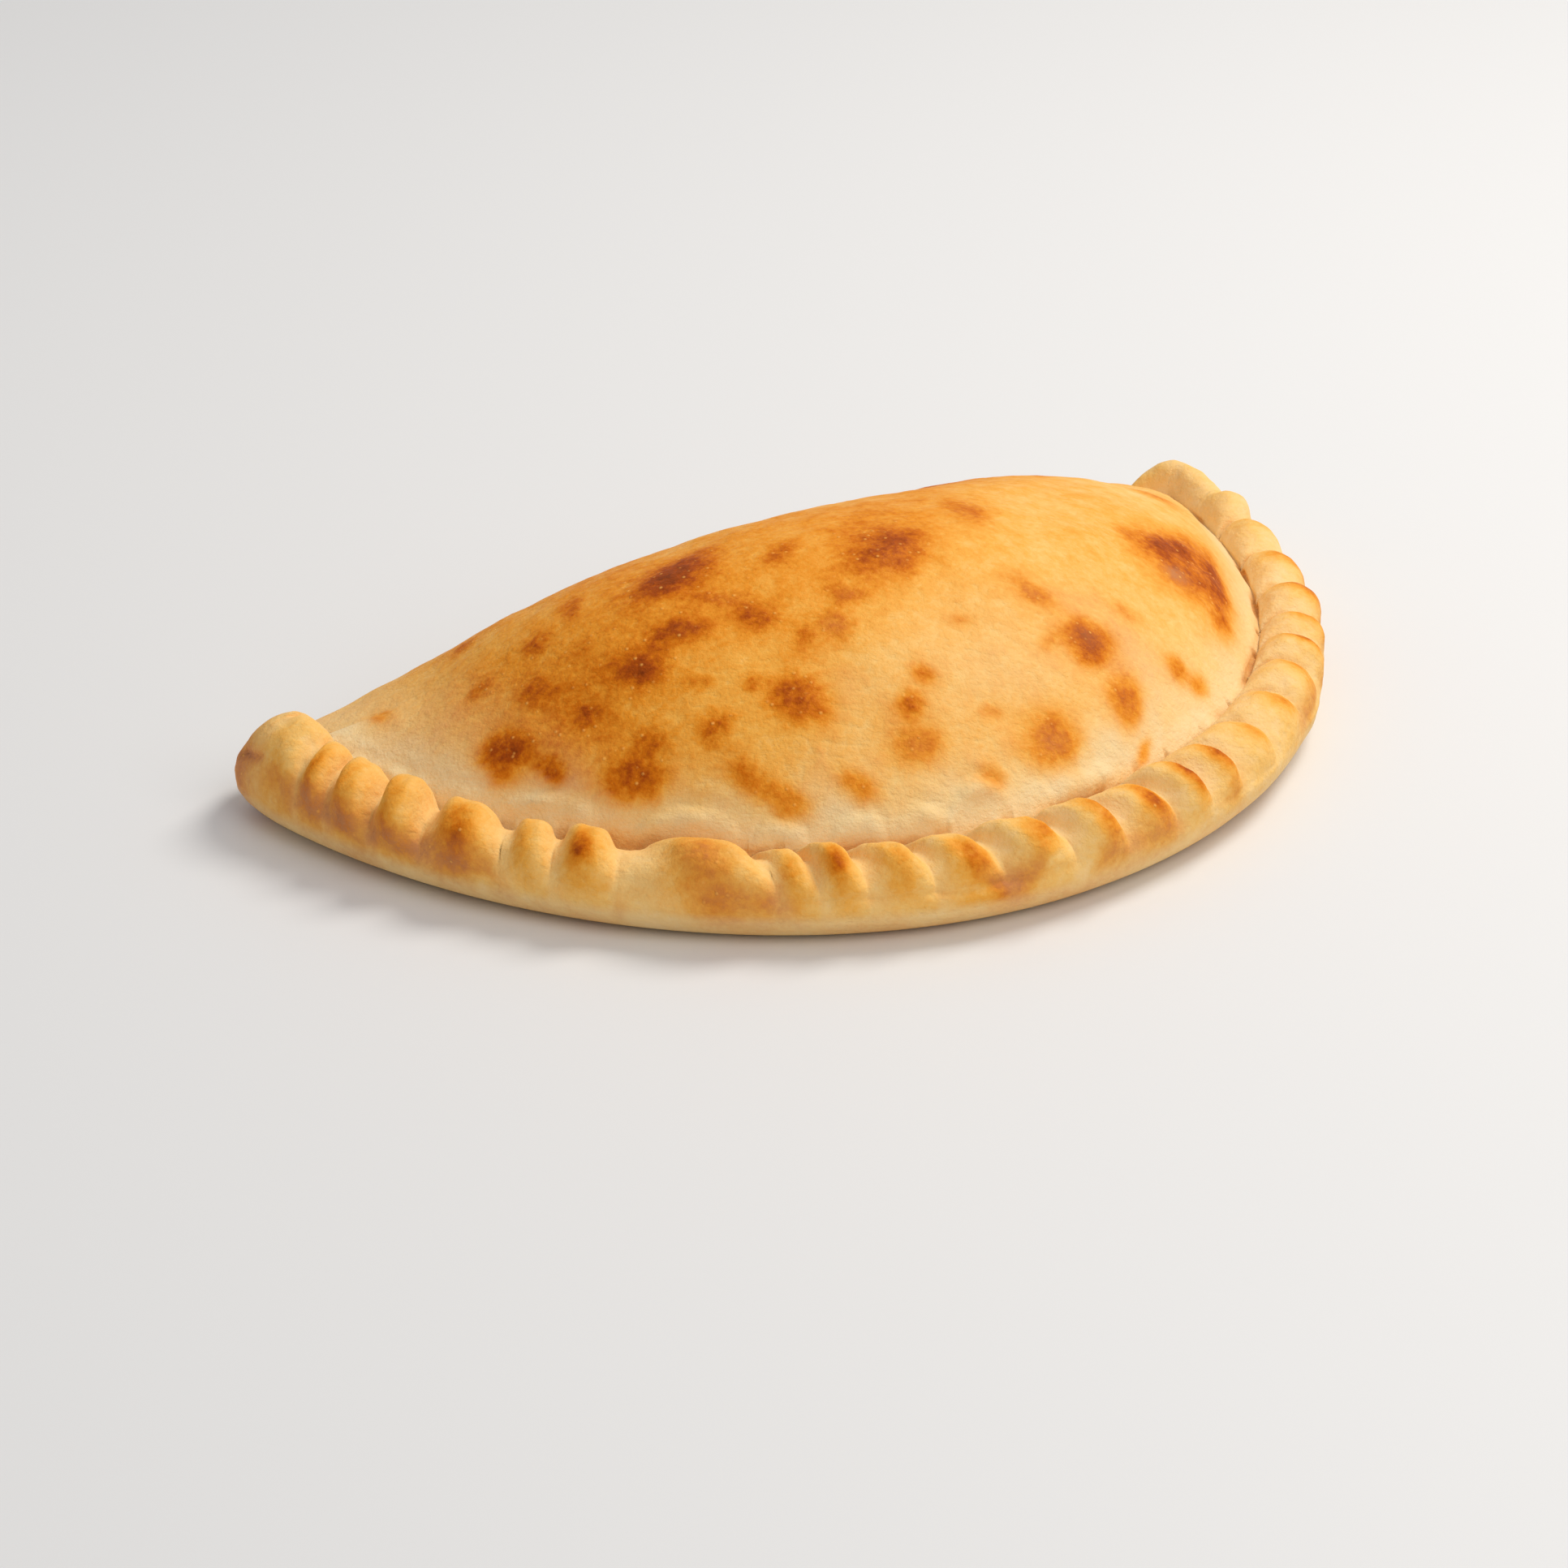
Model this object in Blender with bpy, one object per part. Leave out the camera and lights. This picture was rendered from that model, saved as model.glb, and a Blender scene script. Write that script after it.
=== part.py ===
"""Calzone: a folded, stuffed half-moon of baked dough with a rope-crimped rim.

Metres, +Z up. X runs from tip to tip, the crimped arc faces -Y and the plain fold faces +Y.
The origin is the middle of the bottom of the calzone's box, so it lies on z = 0.
The crust is one closed solid, lofted column by column round its outline.
"""

import bmesh
import bpy
import numpy as np

# Outline seen from above: a half ellipse closed by a nearly straight fold.
HALF_LENGTH = 0.1395  # half the span of the ellipse; the corners round a little off each end
DEPTH = 0.1580  # from the line of the tips to the front of the arc
ARC_LEAN = -0.0070  # the deepest point of the arc lies a little to the left
FOLD_BULGE = 0.0015  # how far the fold bows out behind the line of the tips
CORNER_SHARPNESS = 9.0  # higher makes the two tips more pointed

# Filled dome: a sheet blown up over the seam, tallest a little left of the middle.
CROWN_HEIGHT = 0.0570
CROWN_Y = -0.066
DOME_LEAN = 0.14  # share of the rise that moves towards the left tip
DOME_FRONT_FULLNESS = 0.79  # lower gives steeper sides and a flatter top
DOME_BACK_FULLNESS = 0.79
DOME_BACK_RIGHT_FULLNESS = 0.70  # the dome stands steeper behind the right tip

# Rim of pinched dough along the arc. Insets are measured inwards from the outline.
RIM_WIDTH_LEFT = 0.0175
RIM_WIDTH_RIGHT = 0.0136
RIM_CREST_LEFT = 0.0156  # top of the rim at the bottom of a crease
RIM_CREST_RIGHT = 0.0142
SEAM_HEIGHT = 0.0126  # where the rim meets the dome
WALL_HEIGHT = 0.0085  # height at which the wall stands out furthest
FOOT_INSET = 0.0095  # the flat underside starts this far in
LEFT_TIP_RISE = 0.0095  # both ends of the rim are blunt lumps, thicker than the rest
RIGHT_TIP_RISE = 0.0050
TIP_RISE_REACH = 0.017

# Pinches of the crimp, from the left tip to the right tip, in millimetres along the outline.
PINCH_WIDTHS_MM = (14, 12, 12, 15, 18, 17, 14, 23, 15, 12, 15, 16, 18, 15,
                   15, 13, 13, 18, 19, 18, 14, 13, 20, 22, 22, 17, 19)
PINCH_HEIGHT_LEFT = 0.0054  # how far a knuckle stands above its creases
PINCH_HEIGHT_RIGHT = 0.0038
PINCH_SLANT_LEFT = 0.009  # how far a ridge runs along the rim as it crosses it
PINCH_SLANT_RIGHT = 0.001
FIRST_PINCH = 0.026  # the pinches grow out of the smooth left lump by this distance
RIM_FADE = 0.022  # the rim runs out into the fold over this length at each tip

# Back fold.
SHOULDER_INSET = 0.0050
SHOULDER_HEIGHT_AT_TIPS = 0.0110
SHOULDER_HEIGHT_IN_MIDDLE = 0.0190

# Density of the loft.
COLUMNS_PER_PINCH = 6
FOLD_COLUMNS = 30
WALL_STEPS = 3
RIM_STEPS = 7
DOME_STEPS = 7
OUTLINE_SAMPLES = 2400
SHEET_GRID = 0.004
SHEET_SWEEPS = 300

CRUST_COLOUR = (0.68, 0.38, 0.13, 1.0)
CRUST_ROUGHNESS = 0.62


def clear_scene():
    for thing in list(bpy.data.objects):
        bpy.data.objects.remove(thing, do_unlink=True)


def smooth_step(value, low, high):
    """0 below low, 1 above high, with a soft change between."""
    share = np.clip((value - low) / (high - low), 0.0, 1.0)
    return share * share * (3.0 - 2.0 * share)


def sample_outline():
    """Return plan points anticlockwise from the left tip, and the distance run to each one."""
    turn = np.linspace(-np.pi, np.pi, OUTLINE_SAMPLES, endpoint=False)
    east, north = np.cos(turn), np.sin(turn)
    centre_y = -0.4 * DEPTH
    half = np.where(east < 0.0, HALF_LENGTH + ARC_LEAN, HALF_LENGTH - ARC_LEAN)

    # Distance from the centre to the ellipse along each ray.
    square = (east / half) ** 2 + (north / DEPTH) ** 2
    middle = 2.0 * (-ARC_LEAN * east / half ** 2 + centre_y * north / DEPTH ** 2)
    rest = (ARC_LEAN / half) ** 2 + (centre_y / DEPTH) ** 2 - 1.0
    to_arc = (-middle + np.sqrt(middle ** 2 - 4.0 * square * rest)) / (2.0 * square)

    # Distance to the straight fold, and the softly blended lesser of the two.
    ahead = np.maximum(north, 1e-3)
    to_fold = np.where(north > 1e-3, (FOLD_BULGE - centre_y) / ahead, 1e3)
    reach = (to_arc ** -CORNER_SHARPNESS + to_fold ** -CORNER_SHARPNESS) ** (-1.0 / CORNER_SHARPNESS)
    points = np.stack([reach * east, centre_y + reach * north], axis=1)

    points = np.roll(points, -int(np.argmin(points[:, 0])), axis=0)
    closed = np.vstack([points, points[:1]])
    run = np.concatenate([[0.0], np.cumsum(np.hypot(*np.diff(closed, axis=0).T))])
    return closed, run


def at_distance(closed, run, distance):
    """Plan points of the outline at the given distances from the left tip."""
    wrapped = np.mod(distance, run[-1])
    return np.stack([np.interp(wrapped, run, closed[:, axis]) for axis in (0, 1)], axis=1)


def inward_at(closed, run, distance):
    """Unit directions pointing into the calzone, square to the outline."""
    reach = 0.004  # taken over a short stretch, so that the tips turn smoothly
    along = at_distance(closed, run, distance + reach) - at_distance(closed, run, distance - reach)
    along /= np.hypot(*along.T)[:, None]
    return np.stack([-along[:, 1], along[:, 0]], axis=1)


def lay_out_columns(total):
    """Return each column's distance along the outline and its place across its pinch, 0 to 1."""
    places, shares = [], []
    edge = 0.0
    for width in PINCH_WIDTHS_MM:
        for step in range(COLUMNS_PER_PINCH):
            share = step / COLUMNS_PER_PINCH
            places.append(edge + share * width / 1000.0)
            shares.append(share)
        edge += width / 1000.0
    for step in range(FOLD_COLUMNS):
        share = 0.5 - 0.5 * np.cos(np.pi * step / FOLD_COLUMNS)  # closer together near the tips
        places.append(edge + share * (total - edge))
        shares.append(0.0)
    return np.array(places), np.array(shares), edge


def inflate_sheet(seam, centre):
    """Blow up a thin sheet held along the seam. Return the grid's corner and its heights, 0 to 1."""
    corner = seam.min(axis=0) - 2.0 * SHEET_GRID
    size = np.ceil((seam.max(axis=0) + 2.0 * SHEET_GRID - corner) / SHEET_GRID).astype(int) + 1
    x = corner[0] + SHEET_GRID * np.arange(size[0])[:, None] - centre[0]
    y = corner[1] + SHEET_GRID * np.arange(size[1])[None, :] - centre[1]
    bearing = np.arctan2(seam[:, 1] - centre[1], seam[:, 0] - centre[0])
    reach = np.hypot(*(seam - centre).T)
    inside = np.hypot(x, y) < np.interp(np.arctan2(y, x), np.sort(bearing), reach[np.argsort(bearing)],
                                        period=2.0 * np.pi)
    even = np.add.outer(np.arange(size[0]), np.arange(size[1])) % 2 == 0
    sheet = np.zeros(size)
    for _ in range(SHEET_SWEEPS):
        for half in (even, ~even):
            push = np.zeros(size)
            push[1:-1, 1:-1] = (sheet[2:, 1:-1] + sheet[:-2, 1:-1] + sheet[1:-1, 2:] + sheet[1:-1, :-2]
                                + SHEET_GRID ** 2) / 4.0
            sheet = np.where(inside & half, sheet + 1.85 * (push - sheet), sheet)
    return corner, sheet / sheet.max()


def sheet_at(corner, sheet, plan):
    """Height of the sheet at plan points, between its grid points."""
    place = (plan - corner) / SHEET_GRID
    cell = np.clip(np.floor(place).astype(int), 0, np.array(sheet.shape) - 2)
    u, v = (place - cell).T
    i, j = cell.T
    near = sheet[i, j] * (1.0 - u) + sheet[i + 1, j] * u
    far = sheet[i, j + 1] * (1.0 - u) + sheet[i + 1, j + 1] * u
    return near * (1.0 - v) + far * v


def loft_rows():
    """Return the rings of the crust, from the underside up to the crown, as an array of points."""
    closed, run = sample_outline()
    places, shares, crimp_end = lay_out_columns(run[-1])
    across = places / crimp_end  # 0 at the left tip, 1 at the right tip, more along the fold
    before_tip = np.minimum(places, run[-1] - places)  # distance from the left tip, either way
    past_ends = np.where(across > 1.0, np.minimum(places - crimp_end, run[-1] - places), 0.0)

    crimped = 1.0 - smooth_step(past_ends, 0.0, RIM_FADE)
    rim_width = RIM_WIDTH_LEFT + (RIM_WIDTH_RIGHT - RIM_WIDTH_LEFT) * smooth_step(across, 0.08, 0.45)
    rim_width = np.where(run[-1] - places < RIM_FADE, RIM_WIDTH_LEFT, rim_width)
    slant = PINCH_SLANT_LEFT + (PINCH_SLANT_RIGHT - PINCH_SLANT_LEFT) * smooth_step(across, 0.45, 0.8)
    slant = slant * crimped * smooth_step(places, 0.0, FIRST_PINCH)
    knuckle = PINCH_HEIGHT_LEFT + (PINCH_HEIGHT_RIGHT - PINCH_HEIGHT_LEFT) * smooth_step(across, 0.35, 0.85)
    knuckle = knuckle * (across < 1.0) * (0.12 + 0.88 * smooth_step(places, 0.0, FIRST_PINCH))
    knuckle = knuckle * np.sqrt(np.clip(1.0 - (2.0 * shares - 1.0) ** 2, 0.0, 1.0))
    lift = LEFT_TIP_RISE * np.exp(-(before_tip / TIP_RISE_REACH) ** 2)
    lift += RIGHT_TIP_RISE * np.exp(-((places - crimp_end) / TIP_RISE_REACH) ** 2)

    along = at_distance(closed, run, places)[:, 0] / HALF_LENGTH
    shoulder = SHOULDER_HEIGHT_AT_TIPS
    shoulder = shoulder + (SHOULDER_HEIGHT_IN_MIDDLE - SHOULDER_HEIGHT_AT_TIPS) * (1.0 - along ** 2)
    seam_height = shoulder + (SEAM_HEIGHT + 0.6 * lift - shoulder) * crimped
    crest = RIM_CREST_LEFT + (RIM_CREST_RIGHT - RIM_CREST_LEFT) * smooth_step(across, 0.4, 0.65)
    arch = crest + lift - 0.5 * (WALL_HEIGHT + seam_height)

    def ring(inset, height, shift):
        spot = places + shift * slant
        plan = at_distance(closed, run, spot)
        plan = plan + inward_at(closed, run, spot) * np.reshape(inset, (-1, 1))
        return np.column_stack([plan, height * np.ones(len(places))])

    rows = []
    # The wall: from the flat underside out to the widest line.
    for step in range(WALL_STEPS):
        turn = 0.5 * np.pi * step / WALL_STEPS
        rows.append(ring(FOOT_INSET * (1.0 - np.sin(turn)), WALL_HEIGHT * (1.0 - np.cos(turn)), 0.5))

    # Over the rim: from the widest line across the crest to the seam.
    for step in range(RIM_STEPS + 1):
        share = step / RIM_STEPS
        turn = np.pi * share
        inset = rim_width * crimped * 0.5 * (1.0 - np.cos(turn))
        inset = inset + SHOULDER_INSET * (1.0 - crimped) * share ** 1.6
        height = WALL_HEIGHT + (seam_height - WALL_HEIGHT) * share + arch * np.sin(turn) * crimped
        bump = knuckle * np.sin(turn)  # the knuckles swell from the wall and die away at the seam
        lean = 0.8 * turn  # and puff up and a little inwards
        rows.append(ring(inset - bump * np.cos(lean), height + bump * np.sin(lean), 0.5 - share))

    # Up the dome: from the seam to the crown.
    seam = rows[-1][:, :2]
    crown = np.array([0.0, CROWN_Y])
    corner, sheet = inflate_sheet(seam, crown)
    for step in range(1, DOME_STEPS + 1):
        share = (step / (DOME_STEPS + 1)) ** 1.15
        base = SEAM_HEIGHT + (seam_height - SEAM_HEIGHT) * (1.0 - share) ** 3
        rows.append(dome_ring(seam + (crown - seam) * share, base, corner, sheet))
    top = dome_ring(crown[None, :], np.array([SEAM_HEIGHT]), corner, sheet)[0]
    return np.array(rows), top


def dome_ring(plan, base, corner, sheet):
    """Points of the dome over the given plan points, which the sheet lifts from their base height."""
    to_back = smooth_step(plan[:, 1], -0.100, -0.020)
    to_right = smooth_step(plan[:, 0], 0.0, 0.080)
    back = DOME_BACK_FULLNESS + (DOME_BACK_RIGHT_FULLNESS - DOME_BACK_FULLNESS) * to_right
    fullness = DOME_FRONT_FULLNESS + (back - DOME_FRONT_FULLNESS) * to_back
    rise = sheet_at(corner, sheet, plan) ** fullness * (1.0 - DOME_LEAN * plan[:, 0] / HALF_LENGTH)
    return np.column_stack([plan, base + (CROWN_HEIGHT - base) * rise])


def build_crust():
    """Skin the rings into one closed mesh and centre it on the middle of its base."""
    rows, crown = loft_rows()
    low, high = rows.min(axis=(0, 1)), rows.max(axis=(0, 1))
    middle = np.array([0.5 * (low[0] + high[0]), 0.5 * (low[1] + high[1]), 0.0])
    rows = rows - middle
    crown = crown - middle

    shape = bmesh.new()
    rings = [[shape.verts.new(point) for point in row] for row in rows]
    top = shape.verts.new(crown)
    base = shape.verts.new((crown[0], crown[1], 0.0))
    count = len(rings[0])
    for lower, upper in zip(rings, rings[1:]):
        for here in range(count):
            after = (here + 1) % count
            shape.faces.new((lower[here], lower[after], upper[after], upper[here]))
    for here in range(count):
        after = (here + 1) % count
        shape.faces.new((rings[-1][here], rings[-1][after], top))
        shape.faces.new((rings[0][after], rings[0][here], base))
    bmesh.ops.triangulate(shape, faces=shape.faces[:])
    bmesh.ops.recalc_face_normals(shape, faces=shape.faces[:])

    mesh = bpy.data.meshes.new("calzone")
    shape.to_mesh(mesh)
    shape.free()
    mesh.shade_smooth()
    crust = bpy.data.objects.new("calzone", mesh)
    bpy.context.scene.collection.objects.link(crust)
    return crust


def baked_dough():
    material = bpy.data.materials.new("baked_dough")
    material.use_nodes = True
    shader = material.node_tree.nodes["Principled BSDF"]
    shader.inputs["Base Color"].default_value = CRUST_COLOUR
    shader.inputs["Roughness"].default_value = CRUST_ROUGHNESS
    shader.inputs["Metallic"].default_value = 0.0
    return material


clear_scene()
calzone = build_crust()
calzone.data.materials.append(baked_dough())
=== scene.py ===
# A whole baked calzone on a plain pale floor. The crust is lofted round its outline in the same
# way as the solid it stands for, then pinches, folds, blisters and scorch marks are worked into it.
import math

import bpy
import numpy as np
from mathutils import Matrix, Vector


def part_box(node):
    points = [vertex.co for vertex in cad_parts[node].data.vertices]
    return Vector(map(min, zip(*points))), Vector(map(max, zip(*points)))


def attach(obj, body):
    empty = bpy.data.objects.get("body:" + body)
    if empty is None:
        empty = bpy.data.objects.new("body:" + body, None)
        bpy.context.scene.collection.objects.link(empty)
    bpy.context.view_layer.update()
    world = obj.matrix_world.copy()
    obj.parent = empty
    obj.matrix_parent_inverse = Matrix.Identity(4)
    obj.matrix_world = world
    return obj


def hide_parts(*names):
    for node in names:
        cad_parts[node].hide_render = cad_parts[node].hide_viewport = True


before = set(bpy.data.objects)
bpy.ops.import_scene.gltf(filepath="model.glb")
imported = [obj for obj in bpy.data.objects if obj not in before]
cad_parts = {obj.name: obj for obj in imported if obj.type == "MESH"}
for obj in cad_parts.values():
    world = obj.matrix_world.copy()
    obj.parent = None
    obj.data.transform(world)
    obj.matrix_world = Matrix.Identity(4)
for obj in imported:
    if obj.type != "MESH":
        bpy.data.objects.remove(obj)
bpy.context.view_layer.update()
mm = 0.001

# the crust's own sizes, in millimetres
crust = {
    "halfLength": 139.5, "depth": 158.0, "arcLean": -7.0, "foldBulge": 1.5, "cornerSharpness": 9.0,
    "crownHeight": 57.0, "crownY": -66.0, "domeLean": 0.14,
    "frontFullness": 0.79, "backFullness": 0.79, "backRightFullness": 0.68, "backLeftFullness": 0.98,
    "seamHeight": 12.6, "wallHeight": 8.5, "footInset": 9.5,
    "leftTipRise": 8.8, "rightTipRise": 2.2, "tipReach": 18.5,
    "shoulderInset": 5.0, "shoulderAtTips": 11.0, "shoulderInMiddle": 19.0, "rimFade": 22.0,
    "stepsPerPinch": 26, "foldColumns": 108, "undersideRings": 3, "wallRings": 6, "rimRings": 36,
    "domeRings": 75, "sheetGrid": 2.0, "sheetSweeps": 420, "sheetEdge": 7.0, "seed": 11,
}
# the pinched edge: one width for each pinch, from the left tip to the right tip
pinches = {
    "widths": (14, 8, 14, 14, 20, 13, 15, 34, 9, 11, 15, 16, 18, 15,
               15, 13, 13, 18, 19, 18, 14, 13, 20, 22, 22, 17, 19),
    # knuckles that stand out from the row: number, size and how far the top lies off the middle
    "sizes": ((2, 1.30, 0.0), (3, 1.70, 0.0), (4, 1.15, 0.0), (7, 1.15, 0.15), (8, 0.55, 0.0),
              (25, 1.30, 0.0), (26, 0.95, 0.0)),
    # share of the rim, its width there, and the heights of its crest and of the seam behind it
    "rims": ((0.00, 17.5, 16.4, 12.6), (0.20, 17.3, 16.8, 12.8), (0.34, 15.5, 17.0, 14.2),
             (0.46, 15.8, 17.2, 14.8), (0.58, 16.8, 17.3, 14.8), (0.68, 16.0, 17.3, 14.6),
             (0.80, 14.5, 17.0, 14.4), (0.90, 12.6, 16.6, 13.8), (0.96, 9.5, 15.4, 12.0),
             (1.00, 7.5, 15.0, 11.0)),
    # share of the rim, slant of the creases there, and how far they bow towards the right tip
    "creases": ((0.00, 8.0, 0.0), (0.10, 8.0, 0.5), (0.22, 7.0, 1.0), (0.32, 9.5, 1.5), (0.48, 9.0, 2.0),
                (0.60, 4.0, 3.5), (0.75, 1.0, 3.5), (0.90, 0.0, 2.0), (1.00, 0.0, 0.0)),
    # share of the rim, and how far the knuckles stand up there
    "heights": ((0.00, 4.6), (0.30, 4.4), (0.52, 4.0), (0.68, 3.6), (0.85, 3.5), (1.00, 3.4)),
    "firstPinch": 26.0, "headAt": 0.46, "footAt": 0.64, "unevenHeight": 0.20, "unevenSlant": 1.6,
    "unevenPeak": 0.06, "unevenBow": 0.3, "pitDepth": 2.2, "lumpReach": 14.0,
}


def softStep(value, low, high):
    share = np.clip((value - low) / (high - low), 0.0, 1.0)
    return share * share * (3.0 - 2.0 * share)


def bell(value, width):
    return np.exp(-(value / width) ** 2)


class Noise:
    # smooth seeded noise from -1 to 1, read at points in millimetres
    def __init__(self, seed):
        self.lattice = np.random.default_rng(seed).random((32, 32, 32)) * 2.0 - 1.0

    def at(self, points, size):
        place = points / size + 100.37
        cell = np.floor(place).astype(int)
        part = place - cell
        part = part * part * part * (part * (part * 6.0 - 15.0) + 10.0)
        total = 0.0
        for corner in range(8):
            step = np.array([corner & 1, corner >> 1 & 1, corner >> 2])
            weight = np.prod(np.where(step == 1, part, 1.0 - part), axis=-1)
            i, j, k = np.moveaxis((cell + step) % 32, -1, 0)
            total = total + weight * self.lattice[i, j, k]
        return total

    def layered(self, points, size, layers=3):
        total = 0.0
        for layer in range(layers):
            total = total + self.at(points + 17.3 * layer, size / 2.1 ** layer) / 1.9 ** layer
        return total


def outlineCurve():
    # plan points anticlockwise from the left tip, and the distance run to each
    turn = np.linspace(-np.pi, np.pi, 6000, endpoint=False)
    east, north = np.cos(turn), np.sin(turn)
    lean, depth, sharp = crust["arcLean"], crust["depth"], crust["cornerSharpness"]
    middleY = -0.4 * depth
    half = np.where(east < 0.0, crust["halfLength"] + lean, crust["halfLength"] - lean)
    square = (east / half) ** 2 + (north / depth) ** 2
    linear = 2.0 * (-lean * east / half ** 2 + middleY * north / depth ** 2)
    rest = (lean / half) ** 2 + (middleY / depth) ** 2 - 1.0
    toArc = (-linear + np.sqrt(linear ** 2 - 4.0 * square * rest)) / (2.0 * square)
    toFold = np.where(north > 1e-3, (crust["foldBulge"] - middleY) / np.maximum(north, 1e-3), 1e6)
    reach = (toArc ** -sharp + toFold ** -sharp) ** (-1.0 / sharp)
    points = np.stack([reach * east, middleY + reach * north], axis=1)
    points = np.roll(points, -int(np.argmin(points[:, 0])), axis=0)
    closed = np.vstack([points, points[:1]])
    run = np.concatenate([[0.0], np.cumsum(np.hypot(*np.diff(closed, axis=0).T))])
    return closed, run


def planAt(closed, run, distance):
    wrapped = np.mod(distance, run[-1])
    return np.stack([np.interp(wrapped, run, closed[:, axis]) for axis in (0, 1)], axis=1)


def inwardAt(closed, run, distance):
    along = planAt(closed, run, distance + 4.0) - planAt(closed, run, distance - 4.0)
    along /= np.hypot(*along.T)[:, None]
    return np.stack([-along[:, 1], along[:, 0]], axis=1)


def layOutColumns(total):
    places, shares, which = [], [], []
    edge = 0.0
    steps = crust["stepsPerPinch"]
    for number, width in enumerate(pinches["widths"]):
        for step in range(steps):
            # closer together beside the creases
            share = 0.5 - 0.5 * math.cos(math.pi * step / steps)
            share = 0.45 * share + 0.55 * step / steps
            places.append(edge + share * width)
            shares.append(share)
            which.append(number)
        edge += width
    for step in range(crust["foldColumns"]):
        share = 0.5 - 0.5 * math.cos(math.pi * step / crust["foldColumns"])
        places.append(edge + share * (total - edge))
        shares.append(0.0)
        which.append(-1)
    return np.array(places), np.array(shares), np.array(which), edge


def inflateSheet(seam, centre):
    # a thin sheet held along the seam and blown up from below: its height, 0 to 1, on a grid
    grid = crust["sheetGrid"]
    corner = seam.min(axis=0) - 2.0 * grid
    size = np.ceil((seam.max(axis=0) + 2.0 * grid - corner) / grid).astype(int) + 1
    x = corner[0] + grid * np.arange(size[0])[:, None] - centre[0]
    y = corner[1] + grid * np.arange(size[1])[None, :] - centre[1]
    bearing = np.arctan2(seam[:, 1] - centre[1], seam[:, 0] - centre[0])
    order = np.argsort(bearing)
    reach = np.hypot(*(seam - centre).T)[order]
    edge = np.interp(np.arctan2(y, x), bearing[order], reach, period=2.0 * np.pi)
    inside = np.hypot(x, y) < edge
    even = np.add.outer(np.arange(size[0]), np.arange(size[1])) % 2 == 0
    sheet = np.zeros(size)
    for _ in range(crust["sheetSweeps"]):
        for half in (even, ~even):
            push = np.zeros(size)
            push[1:-1, 1:-1] = (sheet[2:, 1:-1] + sheet[:-2, 1:-1] + sheet[1:-1, 2:]
                                + sheet[1:-1, :-2] + grid ** 2) / 4.0
            sheet = np.where(inside & half, sheet + 1.92 * (push - sheet), sheet)
    return corner, sheet / sheet.max()


def sheetAt(corner, sheet, plan):
    place = (plan - corner) / crust["sheetGrid"]
    cell = np.clip(np.floor(place).astype(int), 0, np.array(sheet.shape) - 2)
    u, v = (place - cell).T
    i, j = cell.T
    near = sheet[i, j] * (1.0 - u) + sheet[i + 1, j] * u
    far = sheet[i, j + 1] * (1.0 - u) + sheet[i + 1, j + 1] * u
    return near * (1.0 - v) + far * v


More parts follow.
